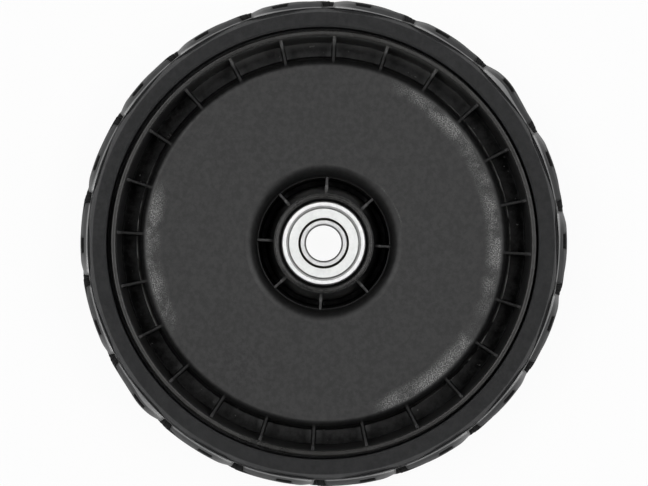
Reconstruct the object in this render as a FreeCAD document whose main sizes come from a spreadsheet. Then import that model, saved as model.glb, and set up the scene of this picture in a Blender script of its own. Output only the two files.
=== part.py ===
import FreeCAD, Part
import Sketcher
import math
import os

# Lawn mower wheel: a ribbed plastic rim, a solid rubber tyre and two shielded ball bearings.
# Millimetres. The axle runs along Z, the ribbed inboard side faces +Z, and the origin is the
# wheel's centre, midway between the tyre's two sidewalls.

SIZES = {
    # rim: barrel, channel with outer ribs, raised disc
    "rim_diameter": 175.4,         # outside of the barrel that carries the tyre
    "rim_lip": 2.0,                # wall at the rim's two edges
    "rim_setback": 1.75,           # rim edge below the tyre's sidewall
    "barrel_draft": 1.5,           # how far the barrel's inside closes in towards the web
    "locating_rib_height": 2.0,    # ring round the barrel that keeps the tyre in place
    "locating_rib_width": 8.0,
    "web_thickness": 2.4,
    "channel_depth": 21.5,         # from the rim's edge to the channel floor
    "channel_width": 6.3,          # at its floor
    "disc_setback": 3.5,           # disc face below the rim's edge
    "disc_draft": 2.0,             # lean of the disc's outer wall
    "disc_edge_radius": 3.0,
    "recess_edge_radius": 5.2,
    "recess_ledge": 0.25,
    "recess_draft": 0.6,
    "pocket_width": 2.5,           # floor between the hub and the recess wall
    "pocket_depth": 30.0,          # from the disc face to that floor
    "rib_thickness": 1.3,
    "rib_drop": 0.8,               # outer ribs below the disc face
    "hub_rib_drop": 4.6,           # hub ribs below the disc face
    "outer_rib_count": 24,
    "hub_rib_count": 8,
    # hub
    "hub_setback": 2.25,           # hub end below the tyre's sidewall
    "hub_lip": 1.45,
    "hub_lip_height": 2.4,
    "hub_step": 0.35,
    "hub_flare": 3.5,              # inboard hub, from its lip to its foot
    "outboard_flare": 2.0,
    "lead_in": 1.3,                # mouth of the bearing seat, wider than the bearing
    "lead_in_depth": 4.5,
    "bearing_recess": 1.5,         # bearing face below the hub's end
    "seat_shoulder": 2.4,          # ledge that stops the bearing's outer ring
    # tyre
    "tyre_width": 44.5,
    "tyre_height": 13.9,           # barrel to the crown of the tread
    "tyre_fit": 0.05,
    "tyre_foot_inset": 9.0,        # end of the tyre's foot inside the rim's edge
    "side_groove": 1.6,            # gap round the rim's edge
    "side_edge": 0.6,              # small bevel on the sidewall's inner edge
    "shoulder_height": 5.9,        # crown down to the sidewall's outer edge
    "ledge_depth": 0.75,
    "ledge_width": 0.8,
    "facet_height": 3.2,           # crown down to the top of the shoulder facet
    "facet_width": 2.4,            # shoulder facet, measured across the tyre
    "lug_count": 18,               # along each shoulder
    "tread_turn": 1.95,            # degrees from a rib to the middle of a groove's mouth
    "groove_depth": 4.2,
    "groove_mouth": 4.9,
    "mouth_depth": 6.95,           # straight part of a groove, in from the sidewall
    "lug_past_centre": 4.0,        # a lug's tip beyond the tread's middle
    "groove_overlap": 0.6,         # grooves of the two sides run into each other by this much
    "lug_pocket_width": 6.4,
    "lug_pocket_offset": 15.0,     # from a groove's mouth along the tread
    "lug_pocket_inset": 5.0,       # from the sidewall
    "lug_pocket_length": 5.3,
    "lug_pocket_depth": 3.4,       # below the crown
    # bearing, deep groove, 15 x 35 x 11
    "bearing_bore": 15.0,
    "bearing_diameter": 35.0,
    "bearing_width": 11.0,
    "bearing_fit": 0.02,
    "ring_chamfer": 0.6,
    "ball_diameter": 5.953,
    "ball_count": 8,
    "ball_clearance": 0.05,
    "inner_race_depth": 1.2,
    "outer_race_depth": 0.95,
    "inner_ring_face": 1.95,       # bore to the outside of the inner ring's end face
    "inner_notch_depth": 1.3,
    "inner_notch_slope": 0.3,
    "crimp_wall": 1.6,             # outer ring's wall at the shield's groove
    "crimp_lip": 0.5,
    "crimp_lip_depth": 0.55,
    "crimp_groove_width": 0.7,
    "shield_sheet": 0.35,
    "shield_fit": 0.02,
    "shield_gap": 0.99,            # open ring between inner ring and shield
    "shield_setback": 0.4,
    "shield_rim": 1.05,            # flat edge that the outer ring grips
    "shield_slope": 0.6,
    "cage_sheet": 0.7,
    "cage_width": 2.2,
    "cage_clearance": 0.08,
    "rivet_diameter": 0.9,
    "rivet_head_diameter": 1.4,
    "rivet_head_height": 0.35,
    "rivet_fit": 0.03,
}

doc = FreeCAD.newDocument("mower_wheel")
sheet = doc.addObject("Spreadsheet::Sheet", "sizes")


class Size:
    """A length together with the spreadsheet expression that it comes from."""

    def __init__(self, value, text):
        self.value = value
        self.text = text

    def join(self, sign, other, value):
        text = other.text if isinstance(other, Size) else repr(other)
        return Size(value, f"({self.text} {sign} {text})")

    def __add__(self, other):
        return self.join("+", other, self.value + number(other))

    def __sub__(self, other):
        return self.join("-", other, self.value - number(other))

    def __mul__(self, other):
        return self.join("*", other, self.value * number(other))

    def __truediv__(self, other):
        return self.join("/", other, self.value / number(other))

    def __rtruediv__(self, other):
        return Size(other / self.value, f"({other!r} / {self.text})")

    def __neg__(self):
        return self * -1


def number(size):
    return size.value if isinstance(size, Size) else size


def root(size):
    return Size(math.sqrt(size.value), f"sqrt({size.text})")


def sine(degrees):
    return Size(math.sin(math.radians(degrees.value)), f"sin({degrees.text})")


def cosine(degrees):
    return Size(math.cos(math.radians(degrees.value)), f"cos({degrees.text})")


class Sizes:
    """The spreadsheet's cells by name."""


size = Sizes()
for row, (name, value) in enumerate(SIZES.items(), start=1):
    sheet.set(f"A{row}", name)
    sheet.set(f"B{row}", str(value))
    sheet.setAlias(f"B{row}", name)
    setattr(size, name, Size(value, f"sizes.{name}"))
doc.recompute()

SUBPARTS = []
BETWEEN_BALLS = 0.5    # rivets sit half a step on from the balls


def vector(x, y, z=0.0):
    return FreeCAD.Vector(number(x), number(y), number(z))


# Bodies, sketches and features

def new_body(label):
    body = doc.addObject("PartDesign::Body", label)
    body.Label = label
    SUBPARTS.append(body)
    return body


def origin_feature(body, role):
    return next(item for item in body.Origin.OriginFeatures if item.Role == role)


def new_sketch(body, name, plane):
    sketch = body.newObject("Sketcher::SketchObject", name)
    sketch.AttachmentSupport = [(origin_feature(body, plane), "")]
    sketch.MapMode = "FlatFace"
    return sketch


def bind(sketch, constraint, length):
    index = sketch.addConstraint(constraint)
    sketch.setExpression(f"Constraints[{index}]", length.text)


def arc_between(start, end, radius, bulge):
    """Circular arc from start to end; it bulges to the left of its chord for +1, to the right for -1."""
    chord = end - start
    sideways = FreeCAD.Vector(-chord.y, chord.x, 0).normalize()
    sagitta = radius - math.sqrt(radius ** 2 - (chord.Length / 2) ** 2)
    middle = (start + end) * 0.5 + sideways * (bulge * sagitta)
    return Part.Arc(start, middle, end)


def draw_outline(sketch, corners):
    """Closed outline through corners (across, up), or (across, up, radius, bulge) where an arc starts."""
    points = [vector(corner[0], corner[1]) for corner in corners]
    last = len(corners) - 1
    starts = []
    ends = []
    for index, corner in enumerate(corners):
        here = points[index]
        there = points[0 if index == last else index + 1]
        if len(corner) == 2:
            sketch.addGeometry(Part.LineSegment(here, there))
            starts.append(1)
            ends.append(2)
        else:
            arc = sketch.addGeometry(arc_between(here, there, corner[2].value, corner[3]))
            to_first = sketch.getPoint(arc, 1).distanceToPoint(here)
            to_second = sketch.getPoint(arc, 2).distanceToPoint(here)
            starts.append(1 if to_first < to_second else 2)
            ends.append(2 if to_first < to_second else 1)
    for index in range(len(corners)):
        following = 0 if index == last else index + 1
        join = Sketcher.Constraint("Coincident", index, ends[index], following, starts[following])
        sketch.addConstraint(join)
    for index, corner in enumerate(corners):
        across = Sketcher.Constraint("DistanceX", -1, 1, index, starts[index], number(corner[0]))
        up = Sketcher.Constraint("DistanceY", -1, 1, index, starts[index], number(corner[1]))
        bind(sketch, across, corner[0])
        bind(sketch, up, corner[1])
        if len(corner) > 2:
            bind(sketch, Sketcher.Constraint("Radius", index, corner[2].value), corner[2])


def turn_profile(body, corners):
    """Solid of revolution about Z from an outline of (radius, height) corners."""
    sketch = new_sketch(body, f"{body.Name}_profile", "XZ_Plane")
    draw_outline(sketch, corners)
    turned = body.newObject("PartDesign::Revolution", f"{body.Name}_turned")
    turned.Profile = sketch
    turned.ReferenceAxis = (sketch, ["V_Axis"])
    turned.Angle = 360
    return turned


def polar_pattern(body, name, feature, count):
    pattern = body.newObject("PartDesign::PolarPattern", name)
    pattern.Originals = [feature]
    pattern.Axis = (origin_feature(body, "Z_Axis"), [""])
    pattern.Angle = 360
    pattern.setExpression("Occurrences", count.text)
    body.Tip = pattern
    return pattern


def round_circles(body, feature, name, circles, radius):
    """Fillet on the full circles (radius, height) of a turned body."""
    doc.recompute()
    picked = []
    for index, edge in enumerate(feature.Shape.Edges, start=1):
        if not isinstance(edge.Curve, Part.Circle):
            continue
        for across, up in circles:
            same_radius = abs(edge.Curve.Radius - across.value) < 0.001
            same_height = abs(edge.Curve.Center.z - up.value) < 0.001
            if same_radius and same_height:
                picked.append(f"Edge{index}")
    fillet = body.newObject("PartDesign::Fillet", name)
    fillet.Base = (feature, picked)
    fillet.setExpression("Radius", radius.text)
    body.Tip = fillet
    return fillet


def mirrored(upper):
    """The corners of an outline's upper half, followed by their mirror images below."""
    lower = []
    for index in range(len(upper) - 1, -1, -1):
        across, up = upper[index][:2]
        arc = upper[index - 1][2:] if index > 0 else ()
        lower.append((across, -up) + tuple(arc))
    return list(upper) + lower


# Shared places

tyre_half = size.tyre_width / 2
rim_radius = size.rim_diameter / 2
rim_edge = tyre_half - size.rim_setback
hub_end = tyre_half - size.hub_setback
bearing_radius = size.bearing_diameter / 2
bearing_face = hub_end - size.bearing_recess
bearing_middle = bearing_face - size.bearing_width / 2
disc_face = rim_edge - size.disc_setback
channel_floor = rim_edge - size.channel_depth
barrel_foot = rim_radius - size.rim_lip - size.barrel_draft
disc_foot = barrel_foot - size.channel_width
hub_lip_inside = bearing_radius + size.lead_in
hub_lip_outside = hub_lip_inside + size.hub_lip
hub_neck = hub_lip_outside + size.hub_step
hub_foot = hub_neck + size.hub_flare
recess_foot = hub_foot + size.pocket_width
recess_top = recess_foot + size.recess_draft + size.recess_ledge


def make_rim():
    rim = new_body("rim")
    web = size.web_thickness
    underside = channel_floor - web
    pocket_floor = disc_face - size.pocket_depth
    pocket_underside = pocket_floor - web
    seat = bearing_radius + size.bearing_fit
    seat_start = hub_end - size.lead_in_depth
    seat_end = bearing_face - size.bearing_width - size.bearing_fit
    shoulder = bearing_radius - size.seat_shoulder
    ledge_height = disc_face - size.recess_edge_radius
    rib_half = size.locating_rib_width / 2
    rib_top = rim_radius + size.locating_rib_height
    disc_corner = (disc_foot - size.disc_draft, disc_face)
    recess_corner = (recess_top, disc_face)
    inner_corner = (recess_foot + size.recess_draft + web, disc_face - web)
    outline = [
        (rim_radius, rim_edge),
        (rim_radius - size.rim_lip, rim_edge),
        (barrel_foot, channel_floor),
        (disc_foot, channel_floor),
        disc_corner,
        recess_corner,
        (recess_top, ledge_height),
        (recess_top - size.recess_ledge, ledge_height),
        (recess_foot, pocket_floor),
        (hub_foot, pocket_floor),
        (hub_neck, hub_end - size.hub_lip_height),
        (hub_lip_outside, hub_end - size.hub_lip_height),
        (hub_lip_outside, hub_end),
        (hub_lip_inside, hub_end),
        (seat, seat_start),
        (seat, seat_end),
        (shoulder, seat_end),
        (shoulder, -seat_end),
        (seat, -seat_end),
        (seat, -seat_start),
        (hub_lip_inside, -hub_end),
        (hub_lip_outside, -hub_end),
        (hub_lip_outside + size.outboard_flare, pocket_underside),
        (recess_foot + web, pocket_underside),
        inner_corner,
        (disc_foot - size.disc_draft - web, disc_face - web),
        (disc_foot - web, underside),
        (barrel_foot, underside),
        (rim_radius - size.rim_lip, -rim_edge),
        (rim_radius, -rim_edge),
        (rim_radius, -rib_half),
        (rib_top, -rib_half),
        (rib_top, rib_half),
        (rim_radius, rib_half),
    ]
    turned = turn_profile(rim, outline)
    recess_rounding = size.recess_edge_radius - size.recess_ledge
    rounded = round_circles(rim, turned, "disc_edge", [disc_corner], size.disc_edge_radius)
    rounded = round_circles(rim, rounded, "recess_edge", [recess_corner], recess_rounding)
    round_circles(rim, rounded, "dish_corner", [inner_corner], size.recess_edge_radius - web)

    # outer ribs cross the channel, rooted in the disc's wall, the barrel and the floor
    rib_height = disc_face - size.rib_drop
    rib_root = web / 2
    add_ribs(rim, "outer_rib", size.outer_rib_count, [
        (disc_foot - rib_root, channel_floor - rib_root),
        (barrel_foot + rib_root, channel_floor - rib_root),
        (rim_radius - size.rim_lip / 2, rib_height),
        (disc_foot - size.disc_draft - rib_root, rib_height),
    ])
    # hub ribs cross the pocket round the hub
    hub_rib_height = disc_face - size.hub_rib_drop
    add_ribs(rim, "hub_rib", size.hub_rib_count, [
        (hub_foot - rib_root, pocket_floor - rib_root),
        (recess_foot + rib_root, pocket_floor - rib_root),
        (recess_foot + size.recess_draft + rib_root, hub_rib_height),
        (hub_neck - rib_root / 2, hub_rib_height),
    ])


def add_ribs(body, name, count, corners):
    sketch = new_sketch(body, f"{name}_profile", "XZ_Plane")
    draw_outline(sketch, corners)
    rib = body.newObject("PartDesign::Pad", name)
    rib.Profile = sketch
    rib.SideType = "Symmetric"
    rib.setExpression("Length", size.rib_thickness.text)
    polar_pattern(body, f"{name}s", rib, count)


def make_tyre():
    tyre = new_body("tyre")
    crown = rim_radius + size.tyre_height
    foot = rim_radius + size.tyre_fit
    foot_end = rim_edge - size.tyre_foot_inset
    side_inside = rim_radius + size.side_groove
    side_outside = crown - size.shoulder_height
    facet_top = crown - size.facet_height
    ledge = tyre_half - size.ledge_depth
    facet_end = ledge - size.facet_width
    rib_half = size.locating_rib_width / 2 + size.tyre_fit
    # the crown's arc passes through both facet tops and rises to the full height between them
    rise = size.facet_height
    crown_radius = (facet_end * facet_end + rise * rise) / (rise * 2)
    upper = [
        (foot + size.locating_rib_height, rib_half),
        (foot, rib_half),
        (foot, foot_end),
        (side_inside, foot_end),
        (side_inside, tyre_half - size.side_edge),
        (side_inside + size.side_edge, tyre_half),
        (side_outside, tyre_half),
        (side_outside, ledge),
        (side_outside + size.ledge_width, ledge),
        (facet_top, facet_end, crown_radius, 1),
    ]
    turn_profile(tyre, mirrored(upper))
    half_pitch = 180 / size.lug_count
    cut_grooves(tyre, "inboard_groove", crown, 1, size.tread_turn)
    cut_grooves(tyre, "outboard_groove", crown, -1, size.tread_turn + half_pitch)
    cut_lug_pockets(tyre, "inboard_lug_pocket", crown, 1, size.tread_turn)
    cut_lug_pockets(tyre, "outboard_lug_pocket", crown, -1, size.tread_turn + half_pitch)


def cut_grooves(tyre, name, crown, side, turn):
    """Gaps between one side's lugs: straight at the mouth, then a wedge along the next lug's slope."""
    mouth = size.groove_mouth / 2
    pitch = crown * (math.tau / size.lug_count)
    reach = pitch / 2 - mouth
    straight_end = tyre_half - size.mouth_depth
    slope = (straight_end + size.lug_past_centre) / (pitch - size.groove_mouth)
    # across the tyre, where the wedge meets the tip of the other side's lug
    narrow = straight_end - slope * (reach - mouth)
    middle = (reach - mouth) / 2
    near = -(mouth + middle)
    far = reach - middle + size.groove_overlap
    cut_tread(tyre, name, crown, turn + angle_of(middle, crown), size.groove_depth, [
        (near, tyre_half * side),
        (mouth - middle, tyre_half * side),
        (mouth - middle, straight_end * side),
        (far, (narrow - slope * size.groove_overlap) * side),
        (far, size.lug_past_centre * side),
        (near, -narrow * side),
    ])


def cut_lug_pockets(tyre, name, crown, side, turn):
    """A blind rectangular pocket in each lug of one side."""
    half = size.lug_pocket_width / 2
    start = tyre_half - size.lug_pocket_inset
    end = start - size.lug_pocket_length
    cut_tread(tyre, name, crown, turn - angle_of(size.lug_pocket_offset, crown), size.lug_pocket_depth, [
        (-half, start * side),
        (half, start * side),
        (half, end * side),
        (-half, end * side),
    ])


def angle_of(arc_length, radius):
    return arc_length / radius * math.degrees(1)


def cut_tread(tyre, name, crown, turn, depth, corners):
    """Pockets all round the tyre, from an outline on a plane that touches the crown."""
    sketch = new_sketch(tyre, f"{name}_outline", "YZ_Plane")
    about_axle = FreeCAD.Rotation(FreeCAD.Vector(0, 1, 0), turn.value)
    sketch.AttachmentOffset = FreeCAD.Placement(FreeCAD.Vector(), about_axle)
    sketch.setExpression("AttachmentOffset.Rotation.Angle", turn.text)
    sketch.setExpression("AttachmentOffset.Base.x", (crown * sine(turn)).text)
    sketch.setExpression("AttachmentOffset.Base.z", (crown * cosine(turn)).text)
    draw_outline(sketch, corners)
    pocket = tyre.newObject("PartDesign::Pocket", name)
    pocket.Profile = sketch
    pocket.setExpression("Length", depth.text)
    polar_pattern(tyre, f"{name}s", pocket, size.lug_count)


# Bearings

half_width = size.bearing_width / 2
pitch_radius = (size.bearing_bore + size.bearing_diameter) / 4
ball_radius = size.ball_diameter / 2
race_radius = ball_radius + size.ball_clearance
inner_land = pitch_radius - race_radius + size.inner_race_depth
outer_land = pitch_radius + race_radius - size.outer_race_depth
crimp_groove = bearing_radius - size.crimp_wall
crimp_floor = half_width - size.crimp_lip_depth - size.crimp_groove_width
inner_face = size.bearing_bore / 2 + size.inner_ring_face
cage_inside = pitch_radius - size.cage_width / 2
cage_outside = pitch_radius + size.cage_width / 2
pocket_radius = ball_radius + size.cage_clearance


def race_half_width(land):
    reach = land - pitch_radius
    return root(race_radius * race_radius - reach * reach)


def place(item, middle):
    item.setExpression("Placement.Base.z", middle.text)


def make_outer_ring(label, middle):
    ring = new_body(label)
    chamfer = size.ring_chamfer
    mouth = crimp_groove - size.crimp_lip
    turn_profile(ring, mirrored([
        (bearing_radius, half_width - chamfer),
        (bearing_radius - chamfer, half_width),
        (mouth, half_width),
        (mouth, half_width - size.crimp_lip_depth),
        (crimp_groove, half_width - size.crimp_lip_depth),
        (crimp_groove, crimp_floor),
        (outer_land, crimp_floor),
        (outer_land, race_half_width(outer_land), race_radius, 1),
    ]))
    place(ring, middle)


def make_inner_ring(label, middle):
    ring = new_body(label)
    bore = size.bearing_bore / 2
    chamfer = size.ring_chamfer
    notch = half_width - size.inner_notch_depth
    turn_profile(ring, mirrored([
        (bore, half_width - chamfer),
        (bore + chamfer, half_width),
        (inner_face, half_width),
        (inner_face + size.inner_notch_slope, notch),
        (inner_land, notch),
        (inner_land, race_half_width(inner_land), race_radius, -1),
    ]))
    place(ring, middle)


def make_shield(label, middle, side):
    """Pressed steel shield: a flat ring whose sunk rim is gripped by the outer ring's groove."""
    shield = new_body(label)
    sheet_metal = size.shield_sheet
    rim_low = crimp_floor + size.shield_fit
    rim_high = rim_low + sheet_metal
    flat_high = half_width - size.shield_setback
    flat_low = flat_high - sheet_metal
    inside = inner_face + size.shield_gap
    outside = crimp_groove - size.shield_fit
    rim_inside = outside - size.shield_rim
    flat_outside = rim_inside - size.shield_slope
    turn_profile(shield, [
        (inside, flat_low * side),
        (inside, flat_high * side),
        (flat_outside, flat_high * side),
        (rim_inside, rim_high * side),
        (outside, rim_high * side),
        (outside, rim_low * side),
        (rim_inside - sheet_metal, rim_low * side),
        (flat_outside - sheet_metal, flat_low * side),
    ])
    place(shield, middle)


# Solid primitives and booleans

def new_cylinder(name, radius, bottom, height, angle=None):
    """Cylinder along Z, on the axle or, with an angle, on the balls' pitch circle."""
    cylinder = doc.addObject("Part::Cylinder", name)
    cylinder.setExpression("Radius", radius.text)
    cylinder.setExpression("Height", height.text)
    put_on_pitch_circle(cylinder, bottom, angle)
    return cylinder


def new_sphere(name, radius, middle, angle):
    sphere = doc.addObject("Part::Sphere", name)
    sphere.setExpression("Radius", radius.text)
    put_on_pitch_circle(sphere, middle, angle)
    return sphere


def put_on_pitch_circle(item, height, angle):
    item.setExpression("Placement.Base.z", height.text)
    if angle is not None:
        item.setExpression("Placement.Base.x", (pitch_radius * cosine(angle)).text)
        item.setExpression("Placement.Base.y", (pitch_radius * sine(angle)).text)


def cut(name, base, tool):
    result = doc.addObject("Part::Cut", name)
    result.Base = base
    result.Tool = tool
    return result


def common(name, base, tool):
    result = doc.addObject("Part::Common", name)
    result.Base = base
    result.Tool = tool
    return result


def fuse(name, items):
    result = doc.addObject("Part::MultiFuse", name)
    result.Shapes = items
    return result


def new_band(name, middle, height):
    """Flat ring of the cage's width that stands on the bearing's middle plane."""
    outside = new_cylinder(f"{name}_outside", cage_outside, middle, height)
    inside = new_cylinder(f"{name}_inside", cage_inside, middle, height)
    return cut(name, outside, inside)


def ball_angles(offset=0.0):
    step = 360 / size.ball_count
    return [step * (index + offset) for index in range(SIZES["ball_count"])]


def make_balls(prefix, middle):
    for index, angle in enumerate(ball_angles(), start=1):
        ball = new_sphere(f"{prefix}_ball_{index}", ball_radius, middle, angle)
        SUBPARTS.append(ball)


def make_cage(prefix, middle):
    """Ribbon cage: two pressed halves with a domed pocket over each ball, riveted between the balls."""
    name = f"{prefix}_cage"
    dome_radius = pocket_radius + size.cage_sheet
    domes = []
    pockets = []
    for index, angle in enumerate(ball_angles(), start=1):
        domes.append(new_sphere(f"{name}_dome_{index}", dome_radius, middle, angle))
        pockets.append(new_sphere(f"{name}_pocket_{index}", pocket_radius, middle, angle))
    hole_radius = size.rivet_diameter / 2 + size.rivet_fit
    holes = []
    for index, angle in enumerate(ball_angles(BETWEEN_BALLS), start=1):
        holes.append(new_cylinder(f"{name}_hole_{index}", hole_radius, middle, size.cage_sheet, angle))
    tall_band = new_band(f"{name}_tall_band", middle, dome_radius)
    flat_band = new_band(f"{name}_flat_band", middle, size.cage_sheet)
    domed = common(f"{name}_domed", fuse(f"{name}_domes", domes), tall_band)
    pressed = fuse(f"{name}_pressed", [domed, flat_band])
    half = cut(f"{prefix}_cage_upper", pressed, fuse(f"{name}_openings", pockets + holes))
    other_half = doc.addObject("Part::Mirroring", f"{prefix}_cage_lower")
    other_half.Source = half
    other_half.Normal = FreeCAD.Vector(0, 0, 1)
    other_half.setExpression("Base.z", middle.text)
    SUBPARTS.extend([half, other_half])


def make_rivets(prefix, middle):
    """One rivet between each two balls, with a head on either face of the cage."""
    name = f"{prefix}_cage_rivets"
    rivets = []
    sheet_metal = size.cage_sheet
    head = size.rivet_head_height
    head_radius = size.rivet_head_diameter / 2
    for index, angle in enumerate(ball_angles(BETWEEN_BALLS), start=1):
        shank = new_cylinder(
            f"{name}_shank_{index}", size.rivet_diameter / 2, middle - sheet_metal, sheet_metal * 2, angle)
        upper = new_cylinder(f"{name}_upper_{index}", head_radius, middle + sheet_metal, head, angle)
        lower = new_cylinder(f"{name}_lower_{index}", head_radius, middle - sheet_metal - head, head, angle)
        rivets.append(fuse(f"{name}_{index}", [shank, upper, lower]))
    group = doc.addObject("Part::Compound", name)
    group.Links = rivets
    SUBPARTS.append(group)


def make_bearing(prefix, middle):
    make_outer_ring(f"{prefix}_outer_ring", middle)
    make_inner_ring(f"{prefix}_inner_ring", middle)
    make_shield(f"{prefix}_upper_shield", middle, 1)
    make_shield(f"{prefix}_lower_shield", middle, -1)
    make_balls(prefix, middle)
    make_cage(prefix, middle)
    make_rivets(prefix, middle)


def check_model():
    doc.recompute()
    for item in doc.Objects:
        if "Invalid" in item.State or "Error" in item.State:
            raise RuntimeError(f"{item.Name} failed to build")
    for subpart in SUBPARTS:
        shape = subpart.Shape
        if shape.isNull() or not shape.isValid() or shape.Volume <= 0:
            raise RuntimeError(f"{subpart.Label} has no valid shape")


def write_parts():
    os.makedirs("parts", exist_ok=True)
    for subpart in SUBPARTS:
        subpart.Shape.exportStep(f"parts/{subpart.Label}.step")
        print(f"{subpart.Label}: {subpart.Shape.Volume:.1f} mm3")


make_rim()
make_tyre()
make_bearing("inboard", bearing_middle)
make_bearing("outboard", -bearing_middle)
check_model()
write_parts()
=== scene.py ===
import math
import random
import bmesh
import bpy
from mathutils import Matrix, Vector


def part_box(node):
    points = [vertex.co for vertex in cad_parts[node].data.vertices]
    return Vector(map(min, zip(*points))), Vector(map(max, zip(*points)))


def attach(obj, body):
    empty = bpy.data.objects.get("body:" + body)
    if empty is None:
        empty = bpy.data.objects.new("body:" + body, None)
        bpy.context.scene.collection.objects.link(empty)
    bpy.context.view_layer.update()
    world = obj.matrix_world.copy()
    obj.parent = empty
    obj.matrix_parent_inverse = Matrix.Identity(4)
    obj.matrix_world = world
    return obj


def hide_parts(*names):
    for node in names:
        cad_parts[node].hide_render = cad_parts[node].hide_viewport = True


# Lawn mower wheel: ribbed plastic rim, solid rubber tyre and two shielded ball bearings.
# Outlines are in millimetres: across from the axle, up from the wheel's middle plane.

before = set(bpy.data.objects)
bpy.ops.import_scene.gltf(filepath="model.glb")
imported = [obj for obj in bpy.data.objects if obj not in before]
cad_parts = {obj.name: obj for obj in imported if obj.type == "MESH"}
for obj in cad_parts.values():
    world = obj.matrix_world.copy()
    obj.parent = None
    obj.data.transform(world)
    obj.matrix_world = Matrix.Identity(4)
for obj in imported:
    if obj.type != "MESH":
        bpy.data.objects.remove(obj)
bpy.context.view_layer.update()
scene = bpy.context.scene
mm = 0.001

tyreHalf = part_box("tyre")[1].z / mm  # sidewall above the middle plane
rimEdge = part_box("rim")[1].z / mm
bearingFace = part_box("inboard_outer_ring")[1].z / mm
bearingMiddle = sum(corner.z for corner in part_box("inboard_outer_ring")) / 2 / mm


# shapes from outlines

pathSizes = {
    "stepAngle": 20.0,  # degrees for each step round a corner
    "hold": 0.12,  # a point this far outside the arc keeps the flat flat
    "holdParts": 3,  # or one of this many parts of the flat, where that is nearer
}


def roundedPath(corners):
    # corners are (across, up, rounding) and may name a zone; points come back as (across, up, zone)
    count = len(corners)
    places = [Vector(corner[:2]) for corner in corners]
    reaches = []
    for index, corner in enumerate(corners):
        toLast = (places[index - 1] - places[index]).normalized()
        toNext = (places[(index + 1) % count] - places[index]).normalized()
        reaches.append(corner[2] / math.tan(toLast.angle(toNext) / 2))
    points = []
    for index, corner in enumerate(corners):
        here = places[index]
        zone = corner[3] if len(corner) > 3 else "plain"
        if reaches[index] == 0.0:
            points.append((corner[0], corner[1], zone))
            continue
        last = places[index - 1]
        following = places[(index + 1) % count]
        toLast = (last - here).normalized()
        toNext = (following - here).normalized()
        half = toLast.angle(toNext) / 2
        centre = here + (toLast + toNext).normalized() * (corner[2] / math.sin(half))
        start = here + toLast * reaches[index]
        spoke = start - centre
        turn = math.pi - 2 * half
        if spoke.cross(here - start) < 0:
            turn = -turn
        steps = max(2, round(abs(math.degrees(turn)) / pathSizes["stepAngle"]))
        arc = [centre + Matrix.Rotation(turn * step / steps, 2) @ spoke for step in range(steps + 1)]
        spareLast = (last - here).length - reaches[index] - reaches[index - 1]
        spareNext = (following - here).length - reaches[index] - reaches[(index + 1) % count]
        before = start + toLast * min(pathSizes["hold"], spareLast / pathSizes["holdParts"])
        after = arc[-1] + toNext * min(pathSizes["hold"], spareNext / pathSizes["holdParts"])
        points.extend((point.x, point.y, zone) for point in [before] + arc + [after])
    return points


def gridPiece(name, rows, columns, place):
    # a ring of columns, each a closed loop of rows
    points = []
    for column in columns:
        for row in rows:
            points.append(tuple(value * mm for value in place(row, column)))
    rowCount = len(rows)
    columnCount = len(columns)
    faces = []
    for column in range(columnCount):
        here = column * rowCount
        there = (column + 1) % columnCount * rowCount
        for row in range(rowCount):
            above = (row + 1) % rowCount
            faces.append((here + row, there + row, there + above, here + above))
    mesh = bpy.data.meshes.new(name)
    mesh.from_pydata(points, [], faces)
    tidy = bmesh.new()
    tidy.from_mesh(mesh)
    bmesh.ops.recalc_face_normals(tidy, faces=tidy.faces)
    tidy.to_mesh(mesh)
    tidy.free()
    mesh.shade_smooth()
    piece = bpy.data.objects.new(name, mesh)
    scene.collection.objects.link(piece)
    return piece


def turnedPiece(name, corners, segments, middle, flip=1):
    rows = roundedPath(corners)
    angles = [math.tau * index / segments for index in range(segments)]

    def place(row, angle):
        return (row[0] * math.cos(angle), row[0] * math.sin(angle), middle + row[1] * flip)

    return gridPiece(name, rows, angles, place)


def mirroredCorners(upper):
    return upper + [(across, -up, *rest) for across, up, *rest in reversed(upper)]


def smoothStep(low, high, value):
    share = min(1.0, max(0.0, (value - low) / (high - low)))
    return share * share * (3 - 2 * share)


# materials

def grey(level):
    return (level, level, level, 1.0)


def emptyTree(owner):
    owner.use_nodes = True
    owner.node_tree.nodes.clear()
    return owner.node_tree


def newMaterial(name):
    material = bpy.data.materials.new(name)
    tree = emptyTree(material)
    shader = tree.nodes.new("ShaderNodeBsdfPrincipled")
    output = tree.nodes.new("ShaderNodeOutputMaterial")
    tree.links.new(shader.outputs["BSDF"], output.inputs["Surface"])
    return material, tree, shader


def feed(tree, socket, value):
    # a socket takes a number or the output of another node
    if isinstance(value, bpy.types.NodeSocket):
        tree.links.new(value, socket)
    else:
        socket.default_value = value


def addNode(tree, kind, output, inputs, **settings):
    # a node with these settings and inputs; the named output comes back
    node = tree.nodes.new("ShaderNode" + kind)
    for name, value in settings.items():
        setattr(node, name, value)
    for socket, value in inputs.items():
        feed(tree, node.inputs[socket], value)
    return node.outputs[output]


def mathNode(tree, operation, *values):
    return addNode(tree, "Math", "Value", dict(enumerate(values)), operation=operation)


def rampNode(tree, value, low, high, lowTo=0.0, highTo=1.0):
    inputs = {"Value": value, "From Min": low, "From Max": high, "To Min": lowTo, "To Max": highTo}
    return addNode(tree, "MapRange", "Result", inputs, interpolation_type="SMOOTHSTEP")


def noises(tree, point, finish, *names):
    # the finish gives each noise's scale, detail and roughness
    found = []
    for name in names:
        scale, detail, roughness = finish[name + "Noise"]
        inputs = {"Vector": point, "Scale": scale, "Detail": detail, "Roughness": roughness}
        found.append(addNode(tree, "TexNoise", "Fac", inputs))
    return found


def mixColour(tree, share, first, second):
    return addNode(tree, "Mix", "Result", {"Factor": share, "A": first, "B": second}, data_type="RGBA")


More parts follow.
